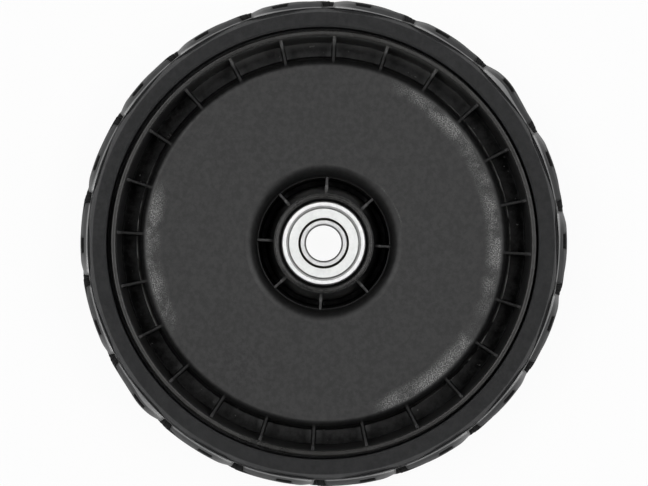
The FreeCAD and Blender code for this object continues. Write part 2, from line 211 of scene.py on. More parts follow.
def bumpNode(tree, height, strength, distance):
    inputs = {"Height": height, "Strength": strength, "Distance": distance}
    return addNode(tree, "Bump", "Normal", inputs)


def coordinates(tree, kind):
    # the place that is shaded, and its three parts
    point = addNode(tree, "TexCoord", kind, {})
    parts = tree.nodes.new("ShaderNodeSeparateXYZ")
    feed(tree, parts.inputs["Vector"], point)
    return point, [parts.outputs[axis] for axis in "XYZ"]


def wheelPlaces(tree):
    # position on the wheel: the point, its distance from the axle, its angle and its height
    point, (x, y, z) = coordinates(tree, "Object")
    squares = mathNode(tree, "ADD", mathNode(tree, "MULTIPLY", x, x), mathNode(tree, "MULTIPLY", y, y))
    return point, mathNode(tree, "SQRT", squares), mathNode(tree, "ARCTAN2", y, x), z


lobeEnds = (1.25, 0.65)  # a stretch fades in between these shares of its half width


def lobes(tree, angle, places):
    # 1 inside the given stretches of the wheel, (middle, half width) in degrees, with soft ends
    share = 0.0
    for middle, half in places:
        away = mathNode(tree, "COSINE", mathNode(tree, "SUBTRACT", angle, math.radians(middle)))
        ends = [math.cos(math.radians(half * end)) for end in lobeEnds]
        share = mathNode(tree, "MAXIMUM", rampNode(tree, away, *ends), share)
    return share


def product(tree, first, *others):
    for other in others:
        first = mathNode(tree, "MULTIPLY", first, other)
    return first


def band(tree, value, inside, full, fade, outside):
    # 1 between full and fade, falling off to 0 at inside and outside
    return product(tree, rampNode(tree, value, inside, full), rampNode(tree, value, outside, fade))


# ranges start with the low and the high end of what is read

rimFinish = {
    "colour": (0.0060, 0.0060, 0.0061, 1.0),
    "worn": grey(0.0100),  # cloudy lighter areas
    "wornRange": (0.35, 0.7),
    "cloudNoise": (38.0, 4.0, 0.6),
    "grainNoise": (2600.0, 2.0, 0.6),
    "grainBump": (0.35, 0.00006),  # strength, distance
    "speckleNoise": (2000.0, 2.0, 0.6),
    "mottleNoise": (430.0, 3.0, 0.65),
    "mottle": (0.3, 0.7, -0.07, 0.07),  # gloss varies by this much
    "patchNoise": (90.0, 3.0, 0.6),
    "dotNoise": (520.0, 1.0, 0.4),
    "specular": 0.51,
    "roughness": (0.3, 0.7, 0.40, 0.48),
    "hubLip": (0.0186, 0.0188, 0.0203, 0.0205),  # bands run from inside to outside, from the axle
    "rimLip": (0.0855, 0.0857, 0.0877, 0.0879),
    "lip": (0.0230, 0.0224, 0.0212, 1.0),
    "lipRoughness": -0.18,  # added on both lips
    "hubLipRange": (0.30, 0.60),
    "channel": (0.0732, 0.0750, 0.0846, 0.0855),
    "channelHeight": (0.0125, 0.0150),
    "channelSpecular": -0.30,  # added on the ribs and the disc's edge
    "floorHeight": (0.0030, 0.0002),
    "floorSpecular": (0.0782, 0.0835, -0.22, -0.40),  # added on the channel's floor
    "sideLobes": ((-90.0, 42.0), (90.0, 42.0)),
    "sideSpecular": -0.10,  # added on the channel's floor there
    "wallBand": (0.0838, 0.0841, 0.0855, 0.0858),
    "wallHeight": (0.0195, 0.0185),
    "wall": grey(0.032),
    "scuff": (0.29, 0.29, 0.284, 1.0),  # pale rubbed speckles
    "scuffBand": (0.0660, 0.0712, 0.0724, 0.0739),
    "scuffLobes": ((-67.0, 40.0), (-137.0, 20.0), (98.0, 22.0)),
    "scuffHeight": (0.0150, 0.0160),  # on the disc's face only
    "scuffPatches": (0.36, 0.60, 0.12, 1.0),
    "scuffSpeckles": (0.40, 0.67, 0.12, 1.0),
    "scratchBand": (0.0326, 0.0330, 0.0332, 0.0336),  # fine scratch round the recess
    "scratchLobes": ((-56.0, 17.0),),
    "scratchShare": 0.28,
    "nick": grey(0.004),
    "nickBand": (0.0858, 0.0862, 0.0874, 0.0878),
    "nickLobes": ((165.0, 8.0),),
    "nickRange": (0.54, 0.60),
    "dust": (0.11, 0.11, 0.105, 1.0),
    "dustAndHighlightHeight": (0.006, 0.001),  # dust and the painted highlight lie in the channel below this
    "dustRange": (0.74, 0.80),
    "footHighlight": (0.40, 0.40, 0.39, 1.0),  # painted highlight along the foot of the channel's inner wall, left and right
    "footHighlightBand": (0.0776, 0.0778, 0.0782, 0.0784),
    "footHighlightLobes": ((-90.0, 48.0), (96.0, 26.0)),
    "footHighlightPatches": (0.38, 0.56),
    "topLight": (0.095, 0.095, 0.093, 1.0),  # painted light on the barrel's inside, above in the picture
    "topLightBand": (0.0808, 0.0848, 0.0857, 0.0859),
    "topLightHeight": (0.0195, 0.0185),
    "topLightLobes": ((0.0, 40.0),),
    "hubConeLight": (0.22, 0.22, 0.217, 1.0),  # painted light on the hub's cone, above and below in the picture
    "hubConeLightBand": (0.0205, 0.0208, 0.0238, 0.0243),
    "hubConeLightLobes": ((0.0, 48.0), (180.0, 48.0)),
    "hubConeLightHeight": (0.018, -0.006, 0.28, 1.0),
    "hubConeLightEnd": (-0.0145, -0.0135),  # none on the outboard half
    "pocketShade": grey(0.0030),  # painted shade, with less gloss: the hub's pocket is darkest at its bottom
    "pocketShadeBand": (0.0240, 0.0243, 0.0280, 0.0300),
    "pocketShadeHeight": (-0.008, -0.0120),
    "pocketShadeSpecular": -0.42,
}


def rimPlastic():
    finish = rimFinish
    material, tree, shader = newMaterial("rimPlastic")
    point, across, angle, up = wheelPlaces(tree)
    cloud, grain, mottle = noises(tree, point, finish, "cloud", "grain", "mottle")
    speckle, patches, dots = noises(tree, point, finish, "speckle", "patch", "dot")

    def ramp(value, name):
        return rampNode(tree, value, *finish[name])

    def ring(name):
        return band(tree, across, *finish[name])

    def stretch(name):
        return lobes(tree, angle, finish[name])

    scratch = product(tree, ring("scratchBand"), stretch("scratchLobes"), finish["scratchShare"])
    rubbed = product(tree, ring("scuffBand"), stretch("scuffLobes"))
    rubbed = mathNode(tree, "MAXIMUM", rubbed, scratch)
    rubbed = product(tree, rubbed, ramp(patches, "scuffPatches"), ramp(up, "scuffHeight"))
    deep = ramp(up, "dustAndHighlightHeight")
    hubLip = ring("hubLip")
    rimLip = ring("rimLip")
    rubbedHub = product(tree, hubLip, ramp(dots, "hubLipRange"))
    # painted light on the hub's cone, above and below in the picture
    hubConeLight = product(tree, ring("hubConeLightBand"), stretch("hubConeLightLobes"), ramp(up, "hubConeLightHeight"))
    # painted shade at the bottom of the hub's pocket
    pocketShade = product(tree, ramp(up, "pocketShadeHeight"), ring("pocketShadeBand"))
    layers = {  # each over the ones before it
        "worn": ramp(cloud, "wornRange"),
        "wall": product(tree, ring("wallBand"), ramp(up, "wallHeight")),
        "lip": mathNode(tree, "MAXIMUM", rubbedHub, rimLip),
        "scuff": product(tree, rubbed, ramp(speckle, "scuffSpeckles")),
        "nick": product(tree, ring("nickBand"), stretch("nickLobes"), ramp(dots, "nickRange")),
        # painted light on the barrel's inside, above in the picture
        "topLight": product(tree, ring("topLightBand"), ramp(up, "topLightHeight"), stretch("topLightLobes")),
        "dust": product(tree, deep, ramp(dots, "dustRange")),
        # painted highlight along the foot of the channel's inner wall, left and right
        "footHighlight": product(tree, deep, ring("footHighlightBand"), stretch("footHighlightLobes"), ramp(patches, "footHighlightPatches")),
        "hubConeLight": product(tree, hubConeLight, ramp(up, "hubConeLightEnd")),
        "pocketShade": pocketShade,
    }
    colour = finish["colour"]
    for name, share in layers.items():
        colour = mixColour(tree, share, colour, finish[name])
    feed(tree, shader.inputs["Base Color"], colour)
    lip = mathNode(tree, "MAXIMUM", hubLip, rimLip)
    rough = mathNode(tree, "MULTIPLY_ADD", lip, finish["lipRoughness"], ramp(cloud, "roughness"))
    feed(tree, shader.inputs["Roughness"], rough)
    channel = ring("channel")
    floor = product(tree, ramp(up, "floorHeight"), channel)
    duller = ramp(across, "floorSpecular")
    duller = mathNode(tree, "MULTIPLY_ADD", stretch("sideLobes"), finish["sideSpecular"], duller)
    ribs = product(tree, ramp(up, "channelHeight"), channel)
    shine = mathNode(tree, "MULTIPLY_ADD", ribs, finish["channelSpecular"], finish["specular"])
    shine = mathNode(tree, "MULTIPLY_ADD", floor, duller, shine)
    shine = mathNode(tree, "ADD", shine, ramp(mottle, "mottle"))
    shine = mathNode(tree, "MULTIPLY_ADD", pocketShade, finish["pocketShadeSpecular"], shine)
    feed(tree, shader.inputs["Specular IOR Level"], shine)
    feed(tree, shader.inputs["Normal"], bumpNode(tree, grain, *finish["grainBump"]))
    return material


steelFinishes = {
    "outerSteel": {"colour": grey(0.85), "shade": grey(0.76),
                   "roughness": (0.42, 0.52), "turning": 0.5, "specks": 0.4},
    "innerSteel": {"colour": grey(0.70), "shade": grey(0.61),
                   "roughness": (0.42, 0.52), "turning": 0.5, "specks": 0.0},
    "shieldSteel": {"colour": (0.83, 0.84, 0.83, 1.0), "shade": (0.76, 0.77, 0.76, 1.0),
                    "roughness": (0.48, 0.58), "turning": 0.1, "specks": 1.0},
    "cageSteel": {"colour": (0.62, 0.62, 0.61, 1.0), "shade": (0.48, 0.48, 0.47, 1.0),
                  "roughness": (0.35, 0.50), "turning": 0.1, "specks": 0.3},
    "ballSteel": {"colour": grey(0.88), "shade": grey(0.82),
                  "roughness": (0.08, 0.14), "turning": 0.0, "specks": 0.0},
}
# old grease and painted shade on the sunk parts of the bearings
greaseAndShade = {
    "colour": (0.016, 0.015, 0.013, 1.0),
    "below": (0.00012, 0.00045),  # under the bearing's face, from none to full
    "places": {  # inside to outside, from the axle, and how strong
        "bore": ((0.0070, 0.0072, 0.0080, 0.0082), 0.85),
        "gap": ((0.0094, 0.0096, 0.01038, 0.01050), 1.0),
        "crimp": ((0.0141, 0.0144, 0.0160, 0.0162), 0.55),
        "outside": ((0.0168, 0.0170, 0.0178, 0.0180), 0.5),
    },
}
steelTexture = {
    "latheScale": 9000.0,  # turning marks follow the distance from the axle
    "cloudNoise": (420.0, 4.0, 0.65),
    "cloudRange": (0.3, 0.75),
    "grainNoise": (5200.0, 2.0, 0.6),
    "grainRange": (0.3, 0.7),
    "speckNoise": (900.0, 1.0, 0.5),
    "speckRange": (0.80, 0.84),
    "speck": grey(0.12),
    "bump": (0.12, 0.00002),  # strength, distance
}


def bearingSteel(name):
    finish = steelFinishes[name]
    texture = steelTexture
    material, tree, shader = newMaterial(name)
    point, across, _, up = wheelPlaces(tree)
    cloud, grain, specks = noises(tree, point, texture, "cloud", "grain", "speck")
    specks = product(tree, rampNode(tree, specks, *texture["speckRange"]), finish["specks"])
    body = mixColour(tree, rampNode(tree, cloud, *texture["cloudRange"]), finish["colour"], finish["shade"])
    body = mixColour(tree, specks, body, texture["speck"])
    # old grease and painted shade darken the steel wherever it is sunk below the bearing's face
    sunk = mathNode(tree, "SUBTRACT", bearingFace * mm, mathNode(tree, "ABSOLUTE", up))
    greaseAndShadeMask = 0.0
    for stretch, strength in greaseAndShade["places"].values():
        greaseAndShadeMask = mathNode(tree, "MAXIMUM", product(tree, band(tree, across, *stretch), strength), greaseAndShadeMask)
    greaseAndShadeMask = product(tree, greaseAndShadeMask, rampNode(tree, sunk, *greaseAndShade["below"]))
    feed(tree, shader.inputs["Base Color"], mixColour(tree, greaseAndShadeMask, body, greaseAndShade["colour"]))
    shader.inputs["Metallic"].default_value = 1.0
    rough = rampNode(tree, grain, *texture["grainRange"], *finish["roughness"])
    feed(tree, shader.inputs["Roughness"], rough)
    turning = {"W": across, "Scale": texture["latheScale"]}
    lathe = addNode(tree, "TexNoise", "Fac", turning, noise_dimensions="1D")
    uneven = mathNode(tree, "MULTIPLY_ADD", lathe, finish["turning"], grain)
    feed(tree, shader.inputs["Normal"], bumpNode(tree, uneven, *texture["bump"]))
    return material


finishes = {"rim": rimPlastic()}
for steelName in steelFinishes:
    finishes[steelName] = bearingSteel(steelName)
print("finishes:", ", ".join(finishes))


def dress(piece, finish, slotName, body, *nodes):
    piece.data.materials.append(finishes[finish])
    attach(piece, body)
    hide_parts(*nodes)


# rim

rimSizes = {
    "barrelRadius": 87.7,
    "lip": 2.0,  # wall at the rim's edges
    "barrelDraft": 1.5,
    "locatingHeight": 2.0,  # ring round the barrel that keeps the tyre in place
    "locatingWidth": 8.0,
    "web": 2.4,
    "channelDepth": 21.5,
    "channelWidth": 6.3,
    "discSetback": 3.5,
    "discDraft": 2.0,
    "discEdge": 3.0,
    "recessEdge": 5.2,
    "recessLedge": 0.25,
    "recessDraft": 0.6,
    "pocketWidth": 2.5,
    "pocketDepth": 30.0,  # from the disc's face
    "ribThickness": 1.3,
    "ribDrop": 0.8,
    "hubRibDrop": 4.6,
    "ribCount": 24,
    "hubRibEvery": 3,  # every third rib has a hub rib in line with it
    "ribTopRound": 0.28,
    "ribRoot": 0.45,
    "ribDraft": 0.05,
    "roundShare": 0.3,  # where a column lies in the ribs' roundings
    "rootFade": 4,  # a rib's root shrinks from this many roundings below its top
    "hubSetback": 2.25,
    "hubLip": 1.45,
    "hubLipHeight": 2.4,
    "hubStep": 0.35,
    "hubFlare": 3.5,
    "outboardFlare": 2.0,
    "leadIn": 1.3,
    "leadInDepth": 4.5,
    "seatRadius": 17.52,
    "seatFit": 0.02,  # of which this is clearance
    "seatShoulder": 15.1,
    "bearingWidth": 11.02,
    "edge": 0.3,  # small rounding on moulded edges
    "lipEdge": 0.55,  # rounding on the rim's and the hub's lips
    "corner": 0.6,  # rounding in the channel's corners
    "gapColumns": 5,  # mesh columns between two ribs
}


def rimOutline():
    size = rimSizes
    barrel = size["barrelRadius"]
    web = size["web"]
    lipInside = barrel - size["lip"]
    barrelFoot = lipInside - size["barrelDraft"]
    discFoot = barrelFoot - size["channelWidth"]
    discTop = discFoot - size["discDraft"]
    discFace = rimEdge - size["discSetback"]
    floor = rimEdge - size["channelDepth"]
    underside = floor - web
    pocketFloor = discFace - size["pocketDepth"]
    pocketUnder = pocketFloor - web
    hubEnd = tyreHalf - size["hubSetback"]
    lipIn = size["seatRadius"] - size["seatFit"] + size["leadIn"]
    lipOut = lipIn + size["hubLip"]
    neck = lipOut + size["hubStep"]
    hubFoot = neck + size["hubFlare"]
    recessFoot = hubFoot + size["pocketWidth"]
    recessSide = recessFoot + size["recessDraft"]
    recessTop = recessSide + size["recessLedge"]
    ledge = discFace - size["recessEdge"]
    ribTop = discFace - size["ribDrop"]
    hubRibTop = discFace - size["hubRibDrop"]
    lipFoot = hubEnd - size["hubLipHeight"]
    seatEnd = bearingFace - size["bearingWidth"]
    seat = size["seatRadius"]
    seatStart = hubEnd - size["leadInDepth"]
    shoulder = size["seatShoulder"]
    rib = size["locatingWidth"] / 2
    ribOut = barrel + size["locatingHeight"]
    edge = size["edge"]
    fine = edge / 3
    lipEdge = size["lipEdge"]
    corner = size["corner"]

    def along(low, high, up):
        # where a sloping wall between two places passes a height
        share = (up - low[1]) / (high[1] - low[1])
        return low[0] + (high[0] - low[0]) * share

    barrelAtRib = along((barrelFoot, floor), (lipInside, rimEdge), ribTop)
    hubAtRib = along((hubFoot, pocketFloor), (neck, lipFoot), hubRibTop)
    corners = [
        (barrel, rimEdge, lipEdge),
        (lipInside, rimEdge, lipEdge),
        (barrelAtRib, ribTop, 0.0, "channel"),
        (barrelFoot, floor, corner, "channel"),
        (discFoot, floor, corner, "channel"),
        (discTop, discFace, size["discEdge"], "channel"),
        (recessTop, discFace, size["recessEdge"] - size["recessLedge"], "pocket"),
        (recessTop, ledge, fine, "pocket"),
        (recessSide, ledge, fine, "pocket"),
        (recessFoot, pocketFloor, corner, "pocket"),
        (hubFoot, pocketFloor, corner, "pocket"),
        (hubAtRib, hubRibTop, 0.0, "pocket"),
        (neck, lipFoot, fine, "pocket"),
        (lipOut, lipFoot, fine, "pocket"),
        (lipOut, hubEnd, lipEdge),
        (lipIn, hubEnd, lipEdge),
        (seat, seatStart, fine),
        (seat, seatEnd, fine),
        (shoulder, seatEnd, edge),
        (shoulder, -seatEnd, edge),
        (seat, -seatEnd, fine),
        (seat, -seatStart, fine),
        (lipIn, -hubEnd, edge),
        (lipOut, -hubEnd, edge),
        (lipOut + size["outboardFlare"], pocketUnder, corner),
        (recessFoot + web, pocketUnder, edge),
        (recessSide + web, discFace - web, size["recessEdge"] - web),
        (discTop - web, discFace - web, corner),
        (discFoot - web, underside, edge),
        (barrelFoot, underside, corner),
        (lipInside, -rimEdge, edge),
        (barrel, -rimEdge, edge),
        (barrel, -rib, fine),
        (ribOut, -rib, edge),
        (ribOut, rib, edge),
        (barrel, rib, fine),
    ]
    return roundedPath(corners), {"channel": ribTop, "pocket": hubRibTop}


def makeRim():
    size = rimSizes
    rows, ribTops = rimOutline()
    pitch = math.tau / size["ribCount"]
    half = size["ribThickness"] / 2
    topRound = size["ribTopRound"]
    ribFoot = half + size["ribDraft"]
    root = size["ribRoot"]
    ribReach = ribFoot + root
    # columns across each rib by their distance from its middle, then columns between the ribs
    share = size["roundShare"]
    side = [half - topRound, half - topRound * share, half, ribFoot, ribFoot + root * share, ribReach]
    steps = size["gapColumns"] + 1
    columns = []
    for rib in range(size["ribCount"]):
        columns.extend(("rib", rib, -distance) for distance in reversed(side))
        columns.extend(("rib", rib, distance) for distance in side)
        columns.extend(("gap", rib, step / steps) for step in range(1, steps))

    def raised(up, top, distance):
        # height of a point once the rib is in place
        if distance <= half:
            past = max(0.0, distance - (half - topRound))
            return max(up, top - topRound + math.sqrt(topRound ** 2 - past ** 2))
        away = root - min(root, distance - ribFoot)
        rise = root - math.sqrt(root ** 2 - away ** 2)
        return up + rise * min(1.0, (top - up) / (size["rootFade"] * root))

    def place(row, column):
        across, up, zone = row
        kind, rib, value = column
        edgeAngle = math.asin(ribReach / across)
        if kind == "gap":
            angle = rib * pitch + edgeAngle + (pitch - 2 * edgeAngle) * value
        else:
            angle = rib * pitch + math.asin(value / across)
            hasRib = zone == "channel" or zone == "pocket" and rib % size["hubRibEvery"] == 0
            if hasRib and up < ribTops[zone]:
                up = raised(up, ribTops[zone], abs(value))
        return (across * math.cos(angle), across * math.sin(angle), up)

    piece = gridPiece("wheel_rim", rows, columns, place)
    dress(piece, "rim", "rim_plastic", "wheel", "rim")
    return piece


print("rim:", len(makeRim().data.polygons), "faces")


# tyre

tyreSizes = {
    "fit": 0.05,
    "height": 13.9,  # barrel to the crown of the tread
    "footInset": 9.0,
    "footRound": 0.1,
    "sideGroove": 1.3,  # gap round the rim's edge
    "sideEdge": 0.6,
    "shoulder": 5.9,  # crown down to the sidewall's outer edge
    "sideRound": 0.28,
    "outerRound": 0.38,
    "ledgeDepth": 1.6,  # fine groove outside the sidewall
    "ledgeWidth": 1.5,  # its floor runs in under the tread
    "backInset": 0.5,  # hidden back of the body, from the bottom of the grooves
    "backDrop": 1.6,  # and from the fine groove
    "edgeRise": 0.95,  # sidewall's edge moves outwards along each lug
    "edgeSpan": (8.0, 18.0),  # between these degrees past the groove's mouth
    "edgeReturn": 4.0,  # and back in, within this many degrees
    "edgeLimit": 0.25,  # and no nearer than this to the bottom of the grooves
    "lean": 0.5,  # its inner edge sits this far to the left of the rim
    "shoulderOut": 0.41,  # the inboard shoulder stands this far out
    "shoulderLean": 0.48,  # and more so towards leanAngle
    "columnsPerLug": 28,
}
treadSizes = {
    "lugs": 18,  # along each shoulder
    "turn": 1.95,  # degrees from a rib to the middle of a groove's mouth
    "depth": 4.2,
    "mouth": 4.9,
    "mouthDepth": 6.95,  # straight part of a groove, in from the sidewall
    "pastCentre": 4.0,  # a lug's tip beyond the tread's middle
    "pocketWidth": 6.4,  # blind pocket in each lug
    "pocketOffset": 15.0,
    "pocketInset": 4.2,
    "pocketLength": 6.1,
    "pocketDepth": 3.4,
    "grooveBack": 3,  # a groove is searched from a third of a lug before its mouth
    "pocketBack": 0.85,  # and a pocket from this share of a lug before it
    "wallRound": (-0.25, 0.45),  # a wall's rounded top starts and its foot ends, across the edge
    "wallColumns": (-0.3, 0.0, 0.3),  # columns at each wall
    "wallClear": 0.25,  # no even column is nearer than this to them
    "facetFoot": (4.9, 0.55),  # below the crown, below the sidewall
    "facetSlope": 0.93,  # drop across the tyre for each millimetre outwards
    "facetWidth": (1.25, 0.4),  # at a lug's start and towards its end
    "facetRoom": 0.2,  # left between a facet and the crown
    "facetLoss": 0.4,  # share of the shoulder's shift that a facet is narrower by
    "tallFacet": 1.1,  # extra facet for each millimetre that a lug stands higher
    "facetSpan": 16.0,  # degrees past the groove's mouth
    "facetRows": (0.0, 0.15, 0.6, 0.92),
    "flankRows": (0.06, 0.35, 0.7),
    "flankEnd": 17.5,  # where the crown starts, from the middle plane
    "crownDrop": 2.8,  # the crown's fall from the middle to crownHalf
    "crownHalf": 19.1,
    "underside": 0.1,  # from the facet's foot in to the hidden inside of the tread
    "facetBack": 1.6,  # and down to it
    "seed": 7,
    "unevenness": 0.1,  # of the lugs' heights, either way
    "tallLugs": {-3: 1.2, -12: 1.0},  # lugs that stand higher, by their place in the tread
    "tallPlace": (7.5, 4.6),  # degrees past the mouth, half width
    "tallRange": (-12.0, -4.0),  # from the tread's middle plane, none to full
    "outboardRise": 0.70,  # the outboard half stands a little higher
    "outboardLean": 0.30,  # and more so towards leanAngle
    "leanAngle": 133.0,  # lower left in the picture
    "outboardRange": (2.0, 6.0),
    "leadDrop": 1.1,  # each lug starts this much lower
    "leadRange": (-7.5, -4.0),  # from the tread's middle plane, none to full
    "leadSpan": (0.0, 5.0),  # and has risen by here, in degrees past the mouth
    "crownRows": 56,
    "columns": 40,  # even columns for each lug, apart from those at its walls
    "grooveShadeReach": (-0.75, -0.05),  # painted shade starts and is full this far outside a groove or pocket
}
foot = rimSizes["barrelRadius"] + tyreSizes["fit"]
crown = rimSizes["barrelRadius"] + tyreSizes["height"]
lugAngle = 360 / treadSizes["lugs"]
lugPitch = math.radians(lugAngle) * crown
toDegrees = math.degrees(1 / crown)  # along the crown

tyreFinish = {
    "colour": (0.0074, 0.0078, 0.0086, 1.0),
    "dusty": (0.0125, 0.0129, 0.0138, 1.0),
    "dustyRange": (0.38, 0.68),
    "cloudNoise": (55.0, 5.0, 0.65),
    "grainNoise": (1800.0, 3.0, 0.6),
    "grainBump": (0.3, 0.00008),  # strength, distance
    "mottleNoise": (380.0, 5.0, 0.7),
    "mottle": (0.3, 0.7, -0.06, 0.06),  # gloss varies by this much
    "roughness": (0.3, 0.7, 0.46, 0.60),
    "specular": 0.31,
    "edge": (0.0949, 0.0952),  # the sidewall's outer edge is glossier
    "edgeHeight": (0.0214, 0.0218),
    "edgeRoughness": -0.16,
    "edgeSpecular": 0.35,
    "bevel": (0.0910, 0.0904),  # the sidewall's inner edge catches the light
    "bevelHeight": (0.02223, 0.02214),
    "bevelSpecular": 0.12,
    "facetRoughness": -0.14,  # added on the lugs' facets
    "facetSpecular": 1.70,
    "lugRoughness": 0.22,  # added on the rest of the tread
    "lugSpecular": 0.22,
    "start": (0.42, 0.04),  # each lug starts glossier, as shares of its length
    "startRoughness": -0.22,
    "startSpecular": 0.50,
    "grooveShade": grey(0.0035),  # painted shade in the grooves and pockets
    "grooveShadeGloss": 0.36,  # share of the gloss that is left there
}


def tyreRubber(name, isTread):
    finish = tyreFinish
    material, tree, shader = newMaterial(name)
    point, across, angle, up = wheelPlaces(tree)
    cloud, grain, mottle = noises(tree, point, finish, "cloud", "grain", "mottle")
    colour = mixColour(tree, rampNode(tree, cloud, *finish["dustyRange"]), finish["colour"], finish["dusty"])
    rough = rampNode(tree, cloud, *finish["roughness"])
    specular = finish["specular"]

    def added(share, kind):
        # roughness and gloss, changed by what the finish says for one kind of place
        return (mathNode(tree, "MULTIPLY_ADD", share, finish[kind + "Roughness"], rough),
                mathNode(tree, "MULTIPLY_ADD", share, finish[kind + "Specular"], specular))

    if isTread:
        facet = addNode(tree, "Attribute", "Fac", {}, attribute_name="facet")
        rougher = rampNode(tree, facet, 0.0, 1.0, finish["lugRoughness"], finish["facetRoughness"])
        rough = mathNode(tree, "ADD", rough, rougher)
        shinier = (specular + finish["lugSpecular"], specular + finish["facetSpecular"])
        specular = rampNode(tree, facet, 0.0, 1.0, *shinier)
        # share of the lug that is past, half a lug later on the outboard side
        lugsPerTurn = -treadSizes["lugs"] / math.tau
        turned = mathNode(tree, "MULTIPLY_ADD", angle, lugsPerTurn, treadSizes["turn"] / lugAngle)
        turned = mathNode(tree, "MULTIPLY_ADD", mathNode(tree, "LESS_THAN", up, 0.0), 0.5, turned)
        start = rampNode(tree, mathNode(tree, "FRACT", turned), *finish["start"])
        rough, specular = added(start, "start")
        # painted shade in the grooves and pockets, with less gloss there
        sunk = addNode(tree, "Attribute", "Fac", {}, attribute_name="sunk")
        colour = mixColour(tree, sunk, colour, finish["grooveShade"])
        specular = product(tree, specular, rampNode(tree, sunk, 0.0, 1.0, 1.0, finish["grooveShadeGloss"]))
    else:
        height = mathNode(tree, "ABSOLUTE", up)
        edge = rampNode(tree, height, *finish["edgeHeight"])
        edge = product(tree, rampNode(tree, across, *finish["edge"]), edge)
        rough, specular = added(edge, "edge")
        bevel = rampNode(tree, height, *finish["bevelHeight"])
        bevel = product(tree, rampNode(tree, across, *finish["bevel"]), bevel)
        specular = mathNode(tree, "MULTIPLY_ADD", bevel, finish["bevelSpecular"], specular)
    feed(tree, shader.inputs["Base Color"], colour)
    feed(tree, shader.inputs["Roughness"], rough)
    mottle = rampNode(tree, mottle, *finish["mottle"])
    feed(tree, shader.inputs["Specular IOR Level"], mathNode(tree, "ADD", specular, mottle))
    feed(tree, shader.inputs["Normal"], bumpNode(tree, grain, *finish["grainBump"]))
    return material


finishes["tyre"] = tyreRubber("tyreRubber", False)
finishes["tread"] = tyreRubber("treadRubber", True)


def pastMouth(angle, side):
    # degrees past the nearest mouth, counted clockwise seen from the inboard side, and which lug
    start = treadSizes["turn"] + (0 if side == 1 else lugAngle / 2)
    turned = (start - angle) / lugAngle
    return (turned - math.floor(turned)) * lugAngle, -1 - math.floor(turned)


def edgeShift(angle, side):
    # how far the sidewall's outer edge has moved outwards along the lug
    past = pastMouth(angle, side)[0]
    back = tyreSizes["edgeReturn"]
    return tyreSizes["edgeRise"] * max(smoothStep(*tyreSizes["edgeSpan"], past), 1 - past / back)


def leanShare(angle):
    # 1 where the tyre leans out most, -1 opposite
    return math.cos(math.radians(angle - treadSizes["leanAngle"]))


def shoulderShift(angle, side):
    # how far the shoulder stands out, on the inboard side only
    if side == -1:
        return 0.0
    return tyreSizes["shoulderOut"] + tyreSizes["shoulderLean"] * leanShare(angle)


def makeTyreBody():
    size = tyreSizes
    sideIn = foot + size["sideGroove"] - size["fit"]
    sideOut = crown - size["shoulder"]
    footEnd = rimEdge - size["footInset"]
    ribHalf = rimSizes["locatingWidth"] / 2 + size["fit"]
    ledge = tyreHalf - size["ledgeDepth"]
    grooveFloor = crown - treadSizes["depth"]
    edge = size["sideRound"]
    upper = [
        (foot + rimSizes["locatingHeight"], ribHalf, 0.0),
        (foot, ribHalf, 0.0),
        (foot, footEnd, size["footRound"]),
        (sideIn, footEnd, size["footRound"], "inner"),
        (sideIn, tyreHalf - size["sideEdge"], edge, "inner"),
        (sideIn + size["sideEdge"], tyreHalf, edge, "inner"),
        (sideOut - edge, tyreHalf, size["outerRound"], "edge"),
        (sideOut, ledge, edge / 2, "edge"),
        (sideOut + size["ledgeWidth"], ledge, 0.0),
        (grooveFloor - size["backInset"], ledge - size["backDrop"], 0.0),
    ]
    rows = roundedPath(mirroredCorners(upper))
    room = grooveFloor - size["edgeLimit"] - sideOut
    count = treadSizes["lugs"] * size["columnsPerLug"]
    angles = [treadSizes["turn"] + 360 * index / count for index in range(count)]

    def place(row, angle):
        across, up, zone = row
        if zone == "edge":
            side = 1 if up > 0 else -1
            across += min(room, edgeShift(angle, side) + shoulderShift(angle, side))
        turn = math.radians(angle)
        if zone == "inner":
            across += size["lean"] * math.sin(turn)
        return (across * math.cos(turn), across * math.sin(turn), up)

    piece = gridPiece("wheel_tyre_body", rows, angles, place)
    dress(piece, "tyre", "tyre_rubber", "wheel", "tyre")
    return piece


def treadColumns():
    # even steps, and closer ones at the walls that run straight across the tread
    size = treadSizes
    mouth = size["mouth"] / 2
    pocket = size["pocketWidth"] / 2
    walls = []
    for shift in (0.0, lugPitch / 2):
        for wall in (-mouth, mouth, -size["pocketOffset"] - pocket, pocket - size["pocketOffset"]):
            walls.extend((shift + wall + aside) % lugPitch for aside in size["wallColumns"])
    steps = [lugPitch * step / size["columns"] for step in range(size["columns"])]
    steps = [step for step in steps if min(abs(step - wall) for wall in walls) > size["wallClear"]]
    alongs = sorted(walls + steps)
    angles = []
    for lug in range(size["lugs"]):
        angles.extend(size["turn"] + lugAngle * lug + along * toDegrees for along in alongs)
    return angles


def grooveReach(along, up):
    # how far a point lies inside the groove whose mouth is at the start, in millimetres
    size = treadSizes
    mouth = size["mouth"] / 2
    straightEnd = tyreHalf - size["mouthDepth"]
    slope = (straightEnd + size["pastCentre"]) / (lugPitch - size["mouth"])
    lean = math.hypot(1, slope)
    reach = lugPitch / 2 - mouth
    narrow = straightEnd - slope * (reach - mouth)
    before = lugPitch / size["grooveBack"]
    along = (along + before) % lugPitch - before
    strip = min(mouth - abs(along), up)
    belowLug = (straightEnd - slope * (along - mouth) - up) / lean
    aboveOther = (up + narrow - slope * (along + mouth)) / lean
    wedge = min(along + mouth, reach + mouth - along, belowLug, aboveOther)
    return max(strip, wedge)


def pocketReach(along, up):
    size = treadSizes
    before = lugPitch * size["pocketBack"]
    along = (along + before) % lugPitch - before
    top = tyreHalf - size["pocketInset"]
    fromWalls = size["pocketWidth"] / 2 - abs(along + size["pocketOffset"])
    return min(fromWalls, top - up, up - top + size["pocketLength"])


